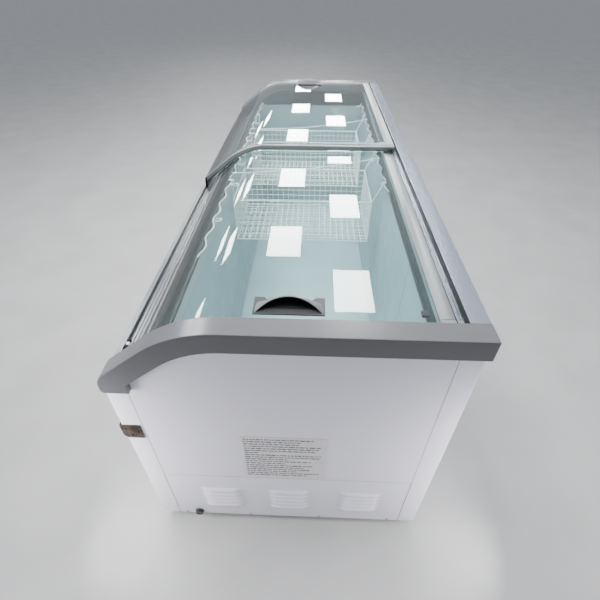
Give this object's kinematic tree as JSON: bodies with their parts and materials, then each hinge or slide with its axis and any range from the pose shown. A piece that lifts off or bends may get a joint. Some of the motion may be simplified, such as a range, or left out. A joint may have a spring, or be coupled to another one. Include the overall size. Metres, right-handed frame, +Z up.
{
  "type": "chest freezer",
  "caption": "Long shop freezer on castors: white insulated body, grey end caps, curved glass lids that slide lengthways over a tank with wire baskets.",
  "frame": {"origin": "on the floor, under the middle of the freezer's outer box", "axes": "+X along the freezer towards the machine end, +Y towards the high rear rail, +Z up; the curved front faces -Y"},
  "size_m": [2.128, 0.812, 0.9043],
  "materials": {
    "white_enamel": "gloss",
    "liner": "satin",
    "foam": "matte",
    "collar_plastic": "satin",
    "grey_plastic": "satin",
    "aluminium": "satin",
    "galvanised": "satin",
    "label": "satin",
    "bronze": "satin",
    "black_paint": "satin",
    "copper": "satin",
    "clear_hose": "satin",
    "dark_plastic": "satin",
    "coated_wire": "satin",
    "glass": "polished",
    "lid_frame": "satin",
    "lid_rail": "satin",
    "rubber": "matte",
    "wheel_rubber": "matte"
  },
  "bodies": {
    "cabinet": {"base_pan": "galvanised", "blank_label": "label", "breaker_frame": "collar_plastic", "cable_gland": "dark_plastic", "compressor": "black_paint", "compressor_bracket": "galvanised", "condenser": "galvanised", "control_box": "grey_plastic", "discharge_pipe": "copper", "drain_tube": "clear_hose", "fan_bracket": "galvanised", "fan_motor": "black_paint", "filter_drier": "copper", "front_basket_rail": "galvanised", "front_outer_panel": "white_enamel", "front_top_rail": "aluminium", "inner_tank": "liner", "insulation_foam": "foam", "left_end_cap": "grey_plastic", "left_end_panel": "white_enamel", "left_front_castor_plate": "galvanised", "left_rear_castor_plate": "galvanised", "louvre_panel": "white_enamel", "rear_basket_rail": "galvanised", "rear_outer_panel": "white_enamel", "rear_top_rail": "aluminium", "right_corner_bracket": "bronze", "right_end_cap": "grey_plastic", "right_end_panel": "white_enamel", "right_front_castor_plate": "galvanised", "right_rear_castor_plate": "galvanised", "suction_pipe": "copper"},
    "right_lid": {"right_lid_glass": "glass", "right_lid_outer_bar": "lid_frame", "right_lid_inner_bar": "lid_frame", "right_lid_front_rail": "lid_rail", "right_lid_rear_rail": "lid_rail", "right_lid_handle": "dark_plastic"},
    "left_lid": {"left_lid_glass": "glass", "left_lid_outer_bar": "lid_frame", "left_lid_inner_bar": "lid_frame", "left_lid_front_rail": "lid_rail", "left_lid_rear_rail": "lid_rail", "left_lid_handle": "dark_plastic", "left_lid_seal": "rubber"},
    "right_basket": {"right_basket": "coated_wire"},
    "left_basket": {"left_basket": "coated_wire"},
    "fan": {"fan_blade": "dark_plastic"},
    "thermostat": {"thermostat_knob": "dark_plastic"},
    "rocker": {"power_rocker": "dark_plastic"},
    "drain_plug": {"drain_plug": "dark_plastic"},
    "right_front_castor_swivel": {"right_front_castor_fork": "galvanised"},
    "right_front_castor_roller": {"right_front_castor_wheel": "wheel_rubber"},
    "right_rear_castor_swivel": {"right_rear_castor_fork": "galvanised"},
    "right_rear_castor_roller": {"right_rear_castor_wheel": "wheel_rubber"},
    "left_front_castor_swivel": {"left_front_castor_fork": "galvanised"},
    "left_front_castor_roller": {"left_front_castor_wheel": "wheel_rubber"},
    "left_rear_castor_swivel": {"left_rear_castor_fork": "galvanised"},
    "left_rear_castor_roller": {"left_rear_castor_wheel": "wheel_rubber"}
  },
  "joints": [
    {"name": "right_lid_slide", "type": "slide", "parent": "cabinet", "child": "right_lid", "axis": [1, 0, 0], "range_m": [-0.87, 0]},
    {"name": "left_lid_slide", "type": "slide", "parent": "cabinet", "child": "left_lid", "axis": [1, 0, 0], "range_m": [0, 0.87]},
    {"name": "right_basket_slide", "type": "slide", "parent": "cabinet", "child": "right_basket", "axis": [1, 0, 0], "range_m": [-0.1, 0.8]},
    {"name": "left_basket_slide", "type": "slide", "parent": "cabinet", "child": "left_basket", "axis": [1, 0, 0], "range_m": [-0.25, 0.1]},
    {"name": "fan_spin", "type": "hinge", "parent": "cabinet", "child": "fan", "pos_m": [0.92, 0.19, 0.168], "axis": [1, 0, 0], "continuous": true},
    {"name": "thermostat_turn", "type": "hinge", "parent": "cabinet", "child": "thermostat", "pos_m": [0.775, -0.3766, 0.17], "axis": [0, -1, 0], "range_deg": [-270, 0]},
    {"name": "rocker_press", "type": "hinge", "parent": "cabinet", "child": "rocker", "pos_m": [0.828, -0.3826, 0.17], "axis": [1, 0, 0], "range_deg": [-8, 8]},
    {"name": "drain_plug_pull", "type": "slide", "parent": "cabinet", "child": "drain_plug", "axis": [1, 0, 0], "range_m": [0, 0.015]},
    {"name": "right_front_castor_turn", "type": "hinge", "parent": "cabinet", "child": "right_front_castor_swivel", "pos_m": [0.95, -0.33, 0.04], "axis": [0, 0, 1], "continuous": true},
    {"name": "right_front_castor_roll", "type": "hinge", "parent": "right_front_castor_swivel", "child": "right_front_castor_roller", "pos_m": [0.936, -0.33, 0.018], "axis": [0, 1, 0], "continuous": true},
    {"name": "right_rear_castor_turn", "type": "hinge", "parent": "cabinet", "child": "right_rear_castor_swivel", "pos_m": [0.95, 0.33, 0.04], "axis": [0, 0, 1], "continuous": true},
    {"name": "right_rear_castor_roll", "type": "hinge", "parent": "right_rear_castor_swivel", "child": "right_rear_castor_roller", "pos_m": [0.936, 0.33, 0.018], "axis": [0, 1, 0], "continuous": true},
    {"name": "left_front_castor_turn", "type": "hinge", "parent": "cabinet", "child": "left_front_castor_swivel", "pos_m": [-0.95, -0.33, 0.04], "axis": [0, 0, 1], "continuous": true},
    {"name": "left_front_castor_roll", "type": "hinge", "parent": "left_front_castor_swivel", "child": "left_front_castor_roller", "pos_m": [-0.964, -0.33, 0.018], "axis": [0, 1, 0], "continuous": true},
    {"name": "left_rear_castor_turn", "type": "hinge", "parent": "cabinet", "child": "left_rear_castor_swivel", "pos_m": [-0.95, 0.33, 0.04], "axis": [0, 0, 1], "continuous": true},
    {"name": "left_rear_castor_roll", "type": "hinge", "parent": "left_rear_castor_swivel", "child": "left_rear_castor_roller", "pos_m": [-0.964, 0.33, 0.018], "axis": [0, 1, 0], "continuous": true}
  ]
}
